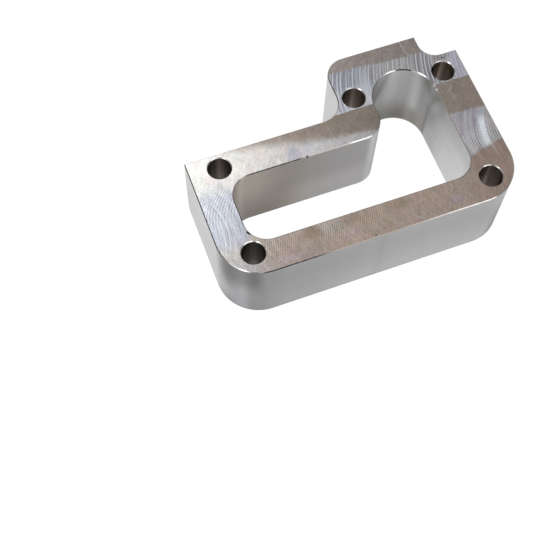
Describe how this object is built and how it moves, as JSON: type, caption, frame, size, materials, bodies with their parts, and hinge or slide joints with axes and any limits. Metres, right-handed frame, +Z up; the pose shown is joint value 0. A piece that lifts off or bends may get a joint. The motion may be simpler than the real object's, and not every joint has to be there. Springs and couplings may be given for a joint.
{
  "type": "oil pickup spacer",
  "caption": "Milled aluminium spacer for an oil pickup: a rail frame whose open pocket turns into a round-ended port, with clearance holes for its screws.",
  "frame": {"origin": "on the lower face, under the middle of the bounding box", "axes": "+X along the long side towards the port, +Y from the front rail towards the port block, +Z up through the thickness"},
  "size_m": [0.0872, 0.0574, 0.0254],
  "materials": {
    "milled_aluminium": "face milled above, with visible cutter passes; side milled round the walls"
  },
  "bodies": {
    "root": {"spacer_body": "milled_aluminium"}
  },
  "joints": []
}
